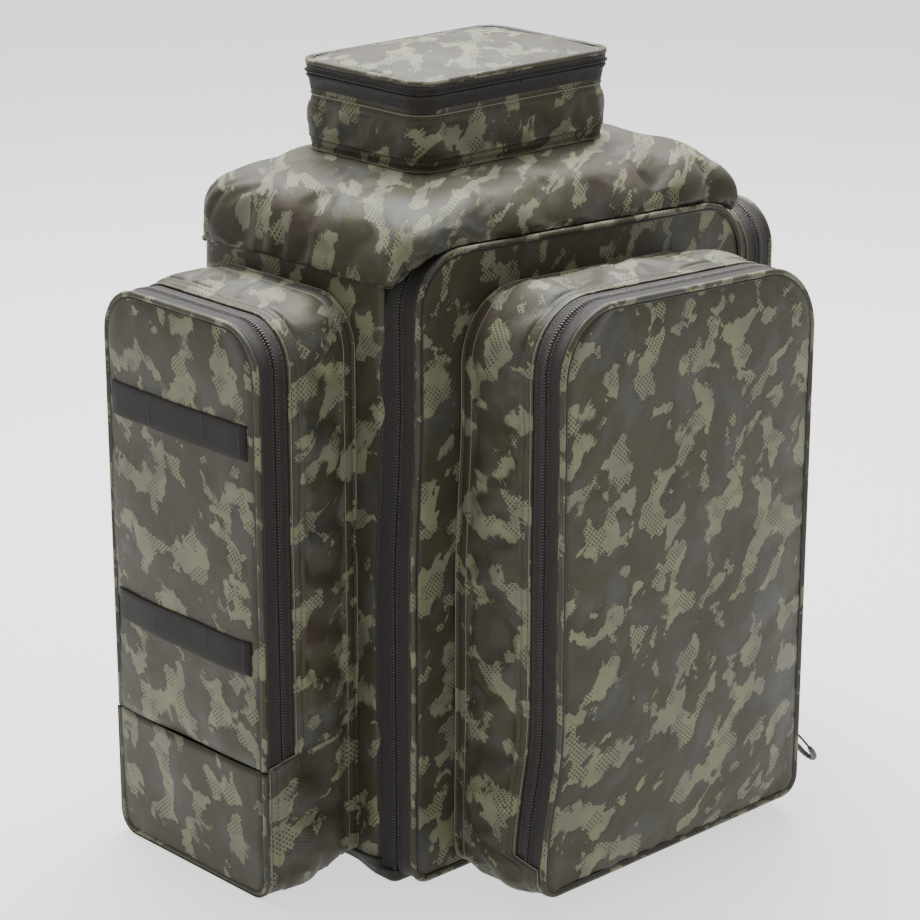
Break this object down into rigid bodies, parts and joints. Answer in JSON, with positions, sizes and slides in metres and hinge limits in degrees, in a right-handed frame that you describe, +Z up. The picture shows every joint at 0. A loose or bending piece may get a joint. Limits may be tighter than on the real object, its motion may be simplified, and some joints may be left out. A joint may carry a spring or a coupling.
{
  "type": "fishing tackle rucksack",
  "caption": "Tall fishing rucksack with a drop-down front panel, a deep front pocket, side pockets, a zipped top hatch and a padded harness.",
  "frame": {"origin": "on the ground, under the middle of the main compartment's base panel", "axes": "+Z up, -Y towards the front pocket, +Y towards the wearer's back, +X to the right when seen from the front"},
  "size_m": [0.6692, 0.539, 0.72],
  "materials": {
    "camo_fabric": "coated polyester with a woven face and a soft sheen",
    "dark_fabric": "matt coated polyester",
    "zip_tape": "matt knitted tape with a nylon coil",
    "webbing": "matt ribbed webbing",
    "spacer_mesh": "open spacer mesh",
    "moulded_plastic": "fine spark-eroded texture",
    "slider_metal": "dark satin enamel",
    "frame_board": "plain"
  },
  "bodies": {
    "pack": {"main_shell": "camo_fabric", "base_panel": "dark_fabric", "yoke_shell": "camo_fabric", "collar_wall": "camo_fabric", "collar_zip_tape": "zip_tape", "main_zip_body_tape": "zip_tape", "back_pad": "spacer_mesh", "frame_sheet": "frame_board", "left_pocket_gusset": "camo_fabric", "left_pocket_toe": "camo_fabric", "left_pocket_zip_body_tape": "zip_tape", "left_strap_pad": "dark_fabric", "left_strap_webbing": "webbing", "left_ladder_lock": "moulded_plastic", "right_pocket_gusset": "camo_fabric", "right_pocket_toe": "camo_fabric", "right_pocket_zip_body_tape": "zip_tape", "right_strap_pad": "dark_fabric", "right_strap_webbing": "webbing", "right_ladder_lock": "moulded_plastic"},
    "front_panel": {"front_panel": "camo_fabric", "front_panel_piping": "camo_fabric", "main_zip_panel_tape": "zip_tape", "front_pocket_gusset": "camo_fabric", "front_pocket_zip_body_tape": "zip_tape"},
    "front_pocket_flap": {"front_pocket_flap": "camo_fabric", "front_pocket_piping": "camo_fabric", "front_pocket_zip_flap_tape": "zip_tape"},
    "lid": {"lid_panel": "camo_fabric", "lid_piping": "camo_fabric", "lid_zip_tape": "zip_tape"},
    "left_pocket_flap": {"left_pocket_flap": "camo_fabric", "left_pocket_piping": "camo_fabric", "left_pocket_zip_flap_tape": "zip_tape", "left_upper_webbing": "webbing", "left_lower_webbing": "webbing"},
    "right_pocket_flap": {"right_pocket_flap": "camo_fabric", "right_pocket_piping": "camo_fabric", "right_pocket_zip_flap_tape": "zip_tape", "right_upper_webbing": "webbing", "right_lower_webbing": "webbing"},
    "main_slider": {"main_zip_slider": "slider_metal"},
    "main_pull": {"main_zip_pull": "moulded_plastic"},
    "front_pocket_slider": {"front_pocket_zip_slider": "slider_metal"},
    "front_pocket_pull": {"front_pocket_zip_pull": "moulded_plastic"},
    "lid_slider": {"lid_zip_slider": "slider_metal"},
    "lid_pull": {"lid_zip_pull": "moulded_plastic"},
    "left_pocket_slider": {"left_pocket_zip_slider": "slider_metal"},
    "left_pocket_pull": {"left_pocket_zip_pull": "moulded_plastic"},
    "right_pocket_slider": {"right_pocket_zip_slider": "slider_metal"},
    "right_pocket_pull": {"right_pocket_zip_pull": "moulded_plastic"},
    "haul_loop": {"haul_loop": "webbing"},
    "sternum_strap": {"sternum_strap_left": "webbing", "sternum_strap_right": "webbing", "sternum_buckle": "moulded_plastic"},
    "left_hip_wing": {"hip_wing_left": "dark_fabric", "hip_buckle_plug": "moulded_plastic"},
    "right_hip_wing": {"hip_wing_right": "dark_fabric", "hip_buckle_socket": "moulded_plastic"}
  },
  "joints": [
    {"name": "lid_hinge", "type": "hinge", "parent": "pack", "child": "lid", "pos_m": [0, 0.092, 0.7065], "axis": [-1, 0, 0], "range_deg": [0, 165]},
    {"name": "front_panel_hinge", "type": "hinge", "parent": "pack", "child": "front_panel", "pos_m": [0, -0.1555, 0.002], "axis": [1, 0, 0], "range_deg": [0, 80]},
    {"name": "front_pocket_flap_hinge", "type": "hinge", "parent": "front_panel", "child": "front_pocket_flap", "pos_m": [0, -0.29, 0.02], "axis": [1, 0, 0], "range_deg": [0, 88]},
    {"name": "left_pocket_flap_hinge", "type": "hinge", "parent": "pack", "child": "left_pocket_flap", "pos_m": [-0.3335, 0, 0.129], "axis": [0, -1, 0], "range_deg": [0, 105]},
    {"name": "right_pocket_flap_hinge", "type": "hinge", "parent": "pack", "child": "right_pocket_flap", "pos_m": [0.3335, 0, 0.129], "axis": [0, 1, 0], "range_deg": [0, 105]},
    {"name": "main_slider_slide", "type": "slide", "parent": "pack", "child": "main_slider", "axis": [0, 0, 1], "range_m": [0, 0.425]},
    {"name": "front_pocket_slider_slide", "type": "slide", "parent": "front_panel", "child": "front_pocket_slider", "axis": [0, 0, 1], "range_m": [0, 0.39]},
    {"name": "lid_slider_slide", "type": "slide", "parent": "pack", "child": "lid_slider", "axis": [0, -1, 0], "range_m": [0, 0.06]},
    {"name": "left_pocket_slider_slide", "type": "slide", "parent": "pack", "child": "left_pocket_slider", "axis": [0, 0, 1], "range_m": [0, 0.32]},
    {"name": "right_pocket_slider_slide", "type": "slide", "parent": "pack", "child": "right_pocket_slider", "axis": [0, 0, 1], "range_m": [0, 0.32]},
    {"name": "main_pull_swing", "type": "hinge", "parent": "main_slider", "child": "main_pull", "pos_m": [0.2176, -0.1465, 0.09], "axis": [0, -1, 0], "range_deg": [0, 100]},
    {"name": "front_pocket_pull_swing", "type": "hinge", "parent": "front_pocket_slider", "child": "front_pocket_pull", "pos_m": [0.1746, -0.276, 0.08], "axis": [0, -1, 0], "range_deg": [-30, 55]},
    {"name": "lid_pull_swing", "type": "hinge", "parent": "lid_slider", "child": "lid_pull", "pos_m": [0.1341, 0.035, 0.7065], "axis": [0, -1, 0], "range_deg": [0, 100]},
    {"name": "left_pocket_pull_swing", "type": "hinge", "parent": "left_pocket_slider", "child": "left_pocket_pull", "pos_m": [-0.312, 0.1246, 0.16], "axis": [1, 0, 0], "range_deg": [0, 100]},
    {"name": "right_pocket_pull_swing", "type": "hinge", "parent": "right_pocket_slider", "child": "right_pocket_pull", "pos_m": [0.312, 0.1246, 0.16], "axis": [1, 0, 0], "range_deg": [0, 100]},
    {"name": "haul_loop_fold", "type": "hinge", "parent": "pack", "child": "haul_loop", "pos_m": [0, 0.1415, 0.545], "axis": [1, 0, 0], "range_deg": [-35, 55]},
    {"name": "left_hip_wing_fold", "type": "hinge", "parent": "pack", "child": "left_hip_wing", "pos_m": [-0.178, 0.136, 0.125], "axis": [0, 0, 1], "range_deg": [0, 60]},
    {"name": "right_hip_wing_fold", "type": "hinge", "parent": "pack", "child": "right_hip_wing", "pos_m": [0.178, 0.136, 0.125], "axis": [0, 0, -1], "range_deg": [0, 60]},
    {"name": "sternum_strap_slide", "type": "slide", "parent": "pack", "child": "sternum_strap", "axis": [0, 0, 1], "range_m": [-0.04, 0.05]}
  ]
}
